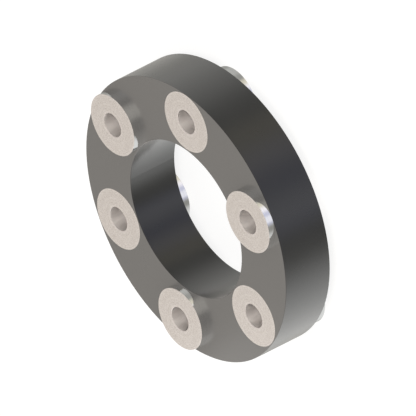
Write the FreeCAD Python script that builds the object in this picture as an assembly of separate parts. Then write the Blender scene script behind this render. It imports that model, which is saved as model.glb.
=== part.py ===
import FreeCAD, Part
import math
import os

# Fan drive coupling: a moulded rubber ring with six turned steel sleeves bonded into it.
# Every second sleeve stands proud of the front face, for the bolts of the front flange.
# The sleeves between them stand proud of the rear face, for the bolts of the rear flange.
# The coupling's axis is Z, and +Z points to the front flange.
# The origin is on the axis, in the plane of the rear sleeves' seats.
# Lengths are in millimetres and angles in degrees.

# Bolting
BOLTS_PER_FLANGE = 3
BOLT_CIRCLE_DIAMETER = 93.6
BOLT_HOLE_DIAMETER = 10.1
FIRST_FRONT_SLEEVE_ANGLE = 90.0

# Sleeves
SLEEVE_DIAMETER = 26.0
SLEEVE_PROJECTION = 3.1
SLEEVE_EDGE_BREAK = 0.15

# Rubber ring: the walls are what is left of the rubber outside and inside the sleeves
RING_THICKNESS = 22.1
OUTER_WALL = 0.2
INNER_WALL = 0.5
RING_EDGE_BREAK = 0.12
EDGE_BREAK_SHARE_OF_WALL = 0.75

# Sizes that follow
SLEEVE_RADIUS = SLEEVE_DIAMETER / 2
BOLT_HOLE_RADIUS = BOLT_HOLE_DIAMETER / 2
BOLT_CIRCLE_RADIUS = BOLT_CIRCLE_DIAMETER / 2
SLEEVE_LENGTH = RING_THICKNESS + SLEEVE_PROJECTION
RING_OUTER_RADIUS = BOLT_CIRCLE_RADIUS + SLEEVE_RADIUS + OUTER_WALL
RING_INNER_RADIUS = BOLT_CIRCLE_RADIUS - SLEEVE_RADIUS - INNER_WALL
RING_REAR_HEIGHT = SLEEVE_PROJECTION
RING_FRONT_HEIGHT = RING_REAR_HEIGHT + RING_THICKNESS
SLEEVE_SPACING_ANGLE = 360.0 / BOLTS_PER_FLANGE

CENTRE = FreeCAD.Vector(0, 0, 0)
AXIS = FreeCAD.Vector(0, 0, 1)


def turned(profile):
    """The solid that a closed profile of (radius, height) points sweeps in a full turn about Z."""
    points = [FreeCAD.Vector(radius, 0, height) for radius, height in profile]
    outline = Part.makePolygon(points + points[:1])
    return Part.Face(outline).revolve(CENTRE, AXIS, 360)


def sleeve_outside():
    """A sleeve's outer profile, from its rear end to its front end, with both edges broken."""
    return [
        (SLEEVE_RADIUS - SLEEVE_EDGE_BREAK, 0),
        (SLEEVE_RADIUS, SLEEVE_EDGE_BREAK),
        (SLEEVE_RADIUS, SLEEVE_LENGTH - SLEEVE_EDGE_BREAK),
        (SLEEVE_RADIUS - SLEEVE_EDGE_BREAK, SLEEVE_LENGTH),
    ]


def bolt_hole_wall():
    """The bolt hole's profile, from its front mouth to its rear mouth, with both edges broken."""
    return [
        (BOLT_HOLE_RADIUS + SLEEVE_EDGE_BREAK, SLEEVE_LENGTH),
        (BOLT_HOLE_RADIUS, SLEEVE_LENGTH - SLEEVE_EDGE_BREAK),
        (BOLT_HOLE_RADIUS, SLEEVE_EDGE_BREAK),
        (BOLT_HOLE_RADIUS + SLEEVE_EDGE_BREAK, 0),
    ]


def sleeve():
    """One steel sleeve, standing on the origin."""
    return turned(sleeve_outside() + bolt_hole_wall())


def sleeve_seat():
    """The room that a sleeve takes up in the rubber: its outer form with no bolt hole."""
    return turned(sleeve_outside() + [(0, SLEEVE_LENGTH), (0, 0)])


def sleeve_places(first_angle, rear_end_height):
    """Where the rear ends of one flange's sleeves stand, evenly spaced round the bolt circle."""
    places = []
    for number in range(BOLTS_PER_FLANGE):
        angle = math.radians(first_angle + number * SLEEVE_SPACING_ANGLE)
        across = BOLT_CIRCLE_RADIUS * math.cos(angle)
        along = BOLT_CIRCLE_RADIUS * math.sin(angle)
        places.append(FreeCAD.Vector(across, along, rear_end_height))
    return places


def front_sleeve_places():
    """Front sleeves end flush with the rubber's rear face and stand proud of its front face."""
    return sleeve_places(FIRST_FRONT_SLEEVE_ANGLE, RING_REAR_HEIGHT)


def rear_sleeve_places():
    """Rear sleeves lie halfway between the front ones and end flush with the rubber's front face."""
    first_angle = FIRST_FRONT_SLEEVE_ANGLE + SLEEVE_SPACING_ANGLE / 2
    return sleeve_places(first_angle, RING_FRONT_HEIGHT - SLEEVE_LENGTH)


def plain_ring():
    """The rubber before the sleeves are moulded in: a thick ring with its four edges broken."""
    thinnest_wall = min(OUTER_WALL, INNER_WALL)
    edge_break = min(RING_EDGE_BREAK, EDGE_BREAK_SHARE_OF_WALL * thinnest_wall)
    return turned(
        [
            (RING_INNER_RADIUS + edge_break, RING_REAR_HEIGHT),
            (RING_OUTER_RADIUS - edge_break, RING_REAR_HEIGHT),
            (RING_OUTER_RADIUS, RING_REAR_HEIGHT + edge_break),
            (RING_OUTER_RADIUS, RING_FRONT_HEIGHT - edge_break),
            (RING_OUTER_RADIUS - edge_break, RING_FRONT_HEIGHT),
            (RING_INNER_RADIUS + edge_break, RING_FRONT_HEIGHT),
            (RING_INNER_RADIUS, RING_FRONT_HEIGHT - edge_break),
            (RING_INNER_RADIUS, RING_REAR_HEIGHT + edge_break),
        ]
    )


def rubber_ring():
    """The moulded rubber, which fits round every sleeve face to face."""
    places = front_sleeve_places() + rear_sleeve_places()
    seats = [sleeve_seat().translated(place) for place in places]
    return plain_ring().cut(seats)


def export_sleeves(name, places):
    for number, place in enumerate(places, start=1):
        sleeve().translated(place).exportStep(f"parts/{name}_{number}.step")


os.makedirs("parts", exist_ok=True)
rubber_ring().exportStep("parts/rubber_ring.step")
export_sleeves("front_sleeve", front_sleeve_places())
export_sleeves("rear_sleeve", rear_sleeve_places())
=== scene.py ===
import math

import bpy
from mathutils import Matrix, Vector


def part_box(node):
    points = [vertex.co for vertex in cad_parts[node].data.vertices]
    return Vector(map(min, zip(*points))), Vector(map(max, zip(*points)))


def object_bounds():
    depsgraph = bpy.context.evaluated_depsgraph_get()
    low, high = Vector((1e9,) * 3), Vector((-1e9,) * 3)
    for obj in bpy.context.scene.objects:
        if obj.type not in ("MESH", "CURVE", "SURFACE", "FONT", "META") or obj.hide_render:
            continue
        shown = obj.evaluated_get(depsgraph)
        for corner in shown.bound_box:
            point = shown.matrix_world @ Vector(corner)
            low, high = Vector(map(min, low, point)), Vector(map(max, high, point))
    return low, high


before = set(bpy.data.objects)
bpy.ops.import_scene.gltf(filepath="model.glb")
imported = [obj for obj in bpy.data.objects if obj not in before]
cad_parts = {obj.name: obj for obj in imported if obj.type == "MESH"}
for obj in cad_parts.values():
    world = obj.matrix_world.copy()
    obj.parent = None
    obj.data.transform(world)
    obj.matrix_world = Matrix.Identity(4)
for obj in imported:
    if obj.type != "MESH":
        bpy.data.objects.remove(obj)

CAD_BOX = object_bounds()
MIDDLE = (CAD_BOX[0] + CAD_BOX[1]) / 2

# Lengths are in metres, angles in degrees and colours in linear light, unless a comment says more.
# The photograph shows the coupling on its rim, with its axis level and its front to the left.
# Here it lies on its rear sleeves, so the photograph's upward direction lies in the floor's plane.
FRONT = Vector((0, 0, 1))
PHOTO_UP = Vector((0, -1, 0))
PHOTO_SIDE = Vector((-1, 0, 0))
CAMERA_ELEVATION = 37.0
CAMERA_AZIMUTH = 50.0
CAMERA_DISTANCE = 0.6
FRAME_WIDTH = 0.16044

# The studio: a pale room, broad soft boxes above the floor, and below it a low band of soft
# panels, which shows in the polished steel. A soft box is (azimuth, elevation, core, reach,
# colour), full up to core from its middle and gone at reach. A panel is the same without the
# elevation. A negative colour takes light away, as a dark flag does. The band's edges are
# elevations: where it starts and where it is full.
ROOM_LIGHT = (0.83, 0.795, 0.75)
SOFT_BOXES = (
    (236.0, 31.0, 4.0, 32.0, (0.80, 0.77, 0.70)),
    (102.0, 25.0, 16.0, 62.0, (0.33, 0.32, 0.30)),
    (312.0, 31.0, 4.0, 26.0, (0.20, 0.20, 0.20)),
    (44.0, 31.0, 8.0, 42.0, (-0.11, -0.115, -0.12)),
)
BAND_LIGHT = (0.41, 0.408, 0.385)
BAND_TOP = (5.0, -14.0)
BAND_FOOT = (-65.0, -42.0)
PANELS = (
    (107.0, 8.0, 58.0, (0.48, 0.49, 0.50)),
    (201.0, 2.0, 16.0, (0.29, 0.28, 0.20)),
    (215.0, 20.0, 42.0, (0.35, 0.37, 0.56)),
    (249.0, 3.0, 27.0, (0.49, 0.44, 0.32)),
    (165.0, 1.0, 14.0, (-0.06, -0.06, -0.06)),
    (322.0, 6.0, 36.0, (0.16, 0.16, 0.16)),
)
WHITE = (1.0, 1.0, 1.0)

# One weak soft lamp near the coupling. Its place is measured from the coupling's middle.
LAMP_PLACE = Vector((0.0, 0.14, 0.036))
LAMP_SIZE = 0.12
LAMP_POWER = 0.0145

# The floor. To the camera it is darker and glows, so that only a faint shadow is left on it.
FLOOR_SIZE = 3.0
FLOOR_COLOUR = (0.50, 0.50, 0.50)
FLOOR_COLOUR_SEEN = (0.24, 0.24, 0.24)
FLOOR_GLOW_SEEN = 0.86
FLOOR_ROUGHNESS = 0.9

# Noise runs from 0 to 1 and seldom leaves this range.
NOISE_RANGE = (0.3, 0.7)

# Moulded rubber: broad clouds and a fine grain, given as features per metre. Its gloss starts
# and is full at two values of Layer Weight's Facing, which is 0 head-on and 1 at the outline.
RUBBER_DARK = (0.0035, 0.0040, 0.0050)
RUBBER_PALE = (0.0050, 0.0055, 0.0065)
RUBBER_ROUGHNESS = (0.27, 0.33)
RUBBER_IOR = 1.47
CLOUD_SCALE = 55.0
CLOUD_DETAIL = 3.0
GRAIN_SCALE = 2600.0
GRAIN_HEIGHT = 0.000004
GRAIN_ROUGHNESS = 0.03
GLOSS_FACING = (0.12, 0.78)
GLOSS_WEIGHT = 0.90
GLOSS_ROUGHNESS = 0.2
GLOSS_IOR = 3.33
SHEEN_WEIGHT = 0.25
SHEEN_ROUGHNESS = 0.45
SHEEN_TINT = (1.0, 0.97, 0.94, 1.0)

# Turned steel. A surface counts as a faced end by how far its normal leans to the sleeve's axis,
# and as the hole's where it is nearer to the hole's radius than to the outside's. The hole is
# brushed round its axis, and its gloss fades at grazing angles.
HOLE_RADIUS = 0.00505
SLEEVE_RADIUS = 0.013
END_LEAN = (0.2, 0.6)
OUTSIDE_DARK = (0.65, 0.65, 0.65)
OUTSIDE_PALE = (0.79, 0.79, 0.79)
OUTSIDE_ROUGHNESS = 0.10
# Painted light: the hole's colours are paler than the rest of the steel, to lift the shade deep in
# the hole.
HOLE_PAINTED_LIGHT_DARK = (0.95, 0.915, 0.90)
HOLE_PAINTED_LIGHT_PALE = (1.0, 0.975, 0.96)
HOLE_ROUGHNESS = 0.46
HOLE_BRUSHING = 0.65
HOLE_GRAZING_TINT = (0.0, 0.0, 0.0)
FACED_DARK = (0.580, 0.541, 0.516)
FACED_PALE = (0.860, 0.829, 0.814)
FACED_ROUGHNESS = (0.46, 0.54)

# Marks of the turning: rings on the ends, lines along the walls, and grain between the rings.
# The noise is (features per metre, detail, roughness).
RING_NOISE = (1500.0, 4.0, 0.7)
LINE_NOISE = (2000.0, 3.0, 0.7)
FACED_NOISE = (3200.0, 1.0, 0.5)
LINE_RANGE = (0.35, 0.65)
RING_SHARE = 0.4
MARK_HEIGHT = 0.000012
LINE_HEIGHTS_PER_RING_HEIGHT = 2.0


class Graph:
    """Adds linked nodes to the node tree of one material or world."""

    def __init__(self, tree):
        self.tree = tree
        tree.nodes.clear()

    def node(self, kind, inputs=None, **settings):
        made = self.tree.nodes.new(kind)
        for name, value in settings.items():
            setattr(made, name, value)
        for socket, value in (inputs or {}).items():
            if isinstance(value, bpy.types.NodeSocket):
                self.tree.links.new(value, made.inputs[socket])
            else:
                made.inputs[socket].default_value = value
        return made

    def math(self, operation, first, second=0.0):
        return self.node("ShaderNodeMath", {0: first, 1: second}, operation=operation).outputs[0]

    def vector(self, operation, first, second, output="Vector"):
        made = self.node("ShaderNodeVectorMath", {0: first, 1: second}, operation=operation)
        return made.outputs[output]

    def combine(self, x=0.0, y=0.0, z=0.0):
        return self.node("ShaderNodeCombineXYZ", {0: x, 1: y, 2: z}).outputs[0]

    def separate(self, vector):
        return self.node("ShaderNodeSeparateXYZ", {0: vector}).outputs

    def ramp(self, value, span, low_out=0.0, high_out=1.0, smooth=True):
        """Maps value from the span's ends to low_out..high_out, and holds it there outside."""
        made = self.node(
            "ShaderNodeMapRange",
            {0: value, 1: span[0], 2: span[1], 3: low_out, 4: high_out},
            interpolation_type="SMOOTHSTEP" if smooth else "LINEAR",
        )
        return made.outputs[0]

    def between(self, share, first, second):
        """A number between first and second."""
        return self.node("ShaderNodeMix", {0: share, 2: first, 3: second}).outputs[0]

    def mix(self, share, first, second):
        """A colour between first and second."""
        first, second = (
            end if isinstance(end, bpy.types.NodeSocket) else (*end, 1.0) for end in (first, second)
        )
        made = self.node("ShaderNodeMix", {0: share, 6: first, 7: second}, data_type="RGBA")
        return made.outputs[2]

    def panel(self, total, towards, middle, core, reach, colour):
        """Adds light of a colour about the direction middle, full to core and none past reach."""
        facing = self.vector("DOT_PRODUCT", towards, middle, "Value")
        share = self.ramp(facing, (math.cos(math.radians(reach)), math.cos(math.radians(core))))
        light = self.node("ShaderNodeVectorMath", {0: colour, "Scale": share}, operation="SCALE")
        return self.vector("ADD", total, light.outputs[0])

    def noise(self, vector, scale, detail=2.0, roughness=0.5):
        """Noise with features of about 1/scale metres."""
        made = self.node(
            "ShaderNodeTexNoise",
            {"Vector": vector, "Scale": scale, "Detail": detail, "Roughness": roughness},
        )
        return made.outputs[0]

    def bump(self, height, distance):
        made = self.node("ShaderNodeBump", {"Height": height, "Distance": distance, "Strength": 1.0})
        return made.outputs[0]


def new_graph(name):
    material = bpy.data.materials.new(name)
    material.use_nodes = True
    return material, Graph(material.node_tree)


def rubber_material():
    """Dark moulded rubber: glossy, a little uneven, with a fine grain."""
    material, g = new_graph("moulded_rubber")
    place = g.node("ShaderNodeTexCoord").outputs["Object"]
    clouds = g.noise(place, CLOUD_SCALE, CLOUD_DETAIL)
    grain = g.noise(place, GRAIN_SCALE)
    cloudy_roughness = g.ramp(clouds, NOISE_RANGE, *RUBBER_ROUGHNESS)
    grain_roughness = g.ramp(grain, NOISE_RANGE, 0.0, GRAIN_ROUGHNESS)
    facing = g.node("ShaderNodeLayerWeight", {"Blend": 0.5}).outputs["Facing"]
    shader = g.node(
        "ShaderNodeBsdfPrincipled",
        {
            "Base Color": g.mix(g.ramp(clouds, NOISE_RANGE), RUBBER_DARK, RUBBER_PALE),
            "Roughness": g.math("ADD", cloudy_roughness, grain_roughness),
            "IOR": RUBBER_IOR,
            "Coat Weight": g.ramp(facing, GLOSS_FACING, 0.0, GLOSS_WEIGHT, smooth=False),
            "Coat Roughness": GLOSS_ROUGHNESS,
            "Coat IOR": GLOSS_IOR,
            "Sheen Weight": SHEEN_WEIGHT,
            "Sheen Roughness": SHEEN_ROUGHNESS,
            "Sheen Tint": SHEEN_TINT,
            "Normal": g.bump(grain, GRAIN_HEIGHT),
        },
    )
    g.node("ShaderNodeOutputMaterial", {0: shader.outputs[0]})
    return material


def steel_material(name, centre):
    """A turned sleeve about its own axis: matt faced ends, a polished outside, a brushed hole."""
    material, g = new_graph(name)
    place = g.vector("SUBTRACT", g.node("ShaderNodeTexCoord").outputs["Object"], centre)
    x, y, z = g.separate(place)
    radius = g.node("ShaderNodeVectorMath", {0: g.combine(x, y)}, operation="LENGTH")
    radius = radius.outputs["Value"]
    lean = g.separate(g.node("ShaderNodeNewGeometry").outputs["Normal"])[2]
    end = g.ramp(g.math("ABSOLUTE", lean), END_LEAN)
    hole = g.math("LESS_THAN", radius, (SLEEVE_RADIUS + HOLE_RADIUS) / 2)
    hole_wall = g.math("MULTIPLY", hole, g.math("SUBTRACT", 1.0, end))

    rings = g.noise(g.combine(x=radius), *RING_NOISE)
    lines = g.noise(g.combine(z=z), *LINE_NOISE)
    grain = g.between(RING_SHARE, g.noise(place, *FACED_NOISE), rings)
    marks = g.between(end, g.math("MULTIPLY", lines, LINE_HEIGHTS_PER_RING_HEIGHT), rings)

    line = g.ramp(lines, LINE_RANGE)
    outside_colour = g.mix(line, OUTSIDE_DARK, OUTSIDE_PALE)
    # Painted light: the hole walls get paler colours than the outside, to lift the shade inside the
    # hole.
    painted_light_hole_colour = g.mix(line, HOLE_PAINTED_LIGHT_DARK, HOLE_PAINTED_LIGHT_PALE)
    wall_colour = g.mix(hole, outside_colour, painted_light_hole_colour)
    faced_colour = g.mix(g.ramp(grain, NOISE_RANGE), FACED_DARK, FACED_PALE)
    wall_roughness = g.between(hole, OUTSIDE_ROUGHNESS, HOLE_ROUGHNESS)
    faced_roughness = g.ramp(grain, NOISE_RANGE, *FACED_ROUGHNESS)
    shader = g.node(
        "ShaderNodeBsdfPrincipled",
        {
            "Base Color": g.mix(end, wall_colour, faced_colour),
            "Metallic": 1.0,
            "Specular Tint": g.mix(hole_wall, WHITE, HOLE_GRAZING_TINT),
            "Roughness": g.between(end, wall_roughness, faced_roughness),
            "Anisotropic": g.math("MULTIPLY", hole_wall, HOLE_BRUSHING),
            "Tangent": g.combine(z=1.0),
            "Normal": g.bump(marks, MARK_HEIGHT),
        },
    )
    g.node("ShaderNodeOutputMaterial", {0: shader.outputs[0]})
    return material


def dress(node, material):
    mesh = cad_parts[node].data
    mesh.materials.clear()
    mesh.materials.append(material)


def direction(azimuth, elevation):
    """A unit vector: azimuth from +X towards +Y, elevation above the floor."""
    a, e = math.radians(azimuth), math.radians(elevation)
    return Vector((math.cos(a) * math.cos(e), math.sin(a) * math.cos(e), math.sin(e)))


def surroundings():
    """The pale studio all round. The camera itself sees plain white in its place."""
    world = bpy.data.worlds.new("studio")
    bpy.context.scene.world = world
    world.use_nodes = True
    world.cycles.sampling_method = "NONE"
    g = Graph(world.node_tree)
    towards = g.node("ShaderNodeTexCoord").outputs["Generated"]
    x, y, z = g.separate(towards)
    level = g.node("ShaderNodeVectorMath", {0: g.combine(x, y)}, operation="NORMALIZE").outputs[0]
    room = ROOM_LIGHT
    for azimuth, elevation, core, reach, colour in SOFT_BOXES:
        room = g.panel(room, towards, direction(azimuth, elevation), core, reach, colour)
    band = BAND_LIGHT
    for azimuth, core, reach, colour in PANELS:
        band = g.panel(band, level, direction(azimuth, 0.0), core, reach, colour)
    edges = [
        g.ramp(z, (math.sin(math.radians(start)), math.sin(math.radians(full))))
        for start, full in (BAND_TOP, BAND_FOOT)
    ]
    light = g.mix(g.math("MULTIPLY", *edges), room, band)
    seen = g.node("ShaderNodeLightPath").outputs["Is Camera Ray"]
    back = g.node("ShaderNodeBackground", {0: g.mix(seen, light, WHITE), 1: 1.0})
    g.node("ShaderNodeOutputWorld", {0: back.outputs[0]})


def floor():
    """A plain pale floor that keeps the coupling's shadow and isn't seen in reflections."""
    bpy.ops.mesh.primitive_plane_add(size=FLOOR_SIZE)
    plane = bpy.context.object
    plane.name = "floor"
    plane.visible_glossy = False
    material, g = new_graph("pale_floor")
    seen = g.node("ShaderNodeLightPath").outputs["Is Camera Ray"]
    shader = g.node(
        "ShaderNodeBsdfPrincipled",
        {
            "Base Color": g.mix(seen, FLOOR_COLOUR, FLOOR_COLOUR_SEEN),
            "Roughness": FLOOR_ROUGHNESS,
            "Specular IOR Level": 0.0,
            "Emission Color": (*WHITE, 1.0),
            "Emission Strength": g.math("MULTIPLY", seen, FLOOR_GLOW_SEEN),
        },
    )
    g.node("ShaderNodeOutputMaterial", {0: shader.outputs[0]})
    plane.data.materials.append(material)


def near_lamp():
    """A square soft lamp that points at the coupling's middle. The camera doesn't see it."""
    data = bpy.data.lights.new("near_lamp", "AREA")
    data.energy = LAMP_POWER
    data.size = LAMP_SIZE
    lamp = bpy.data.objects.new("near_lamp", data)
    lamp.location = MIDDLE + LAMP_PLACE
    lamp.rotation_euler = (-LAMP_PLACE).to_track_quat("-Z", "Y").to_euler()
    lamp.visible_camera = False
    bpy.context.scene.collection.objects.link(lamp)


def camera():
    """A camera with no perspective, at the photograph's angle to the coupling."""
    azimuth, elevation = math.radians(CAMERA_AZIMUTH), math.radians(CAMERA_ELEVATION)
    level = FRONT * math.cos(azimuth) + PHOTO_SIDE * math.sin(azimuth)
    back = level * math.cos(elevation) + PHOTO_UP * math.sin(elevation)
    right = PHOTO_UP.cross(back).normalized()
    up = back.cross(right)
    data = bpy.data.cameras.new("camera")
    data.type = "ORTHO"
    data.ortho_scale = FRAME_WIDTH
    turn = Matrix((right, up, back)).transposed().to_4x4()
    camera_object = bpy.data.objects.new("camera", data)
    camera_object.matrix_world = Matrix.Translation(MIDDLE + back * CAMERA_DISTANCE) @ turn
    bpy.context.scene.collection.objects.link(camera_object)
    bpy.context.scene.camera = camera_object


camera()
surroundings()
floor()
near_lamp()
bpy.context.scene.view_settings.view_transform = "Standard"

dress("rubber_ring", rubber_material())
for sleeve in sorted(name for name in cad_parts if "sleeve" in name):
    low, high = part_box(sleeve)
    dress(sleeve, steel_material(f"turned_steel_{sleeve}", (low + high) / 2))
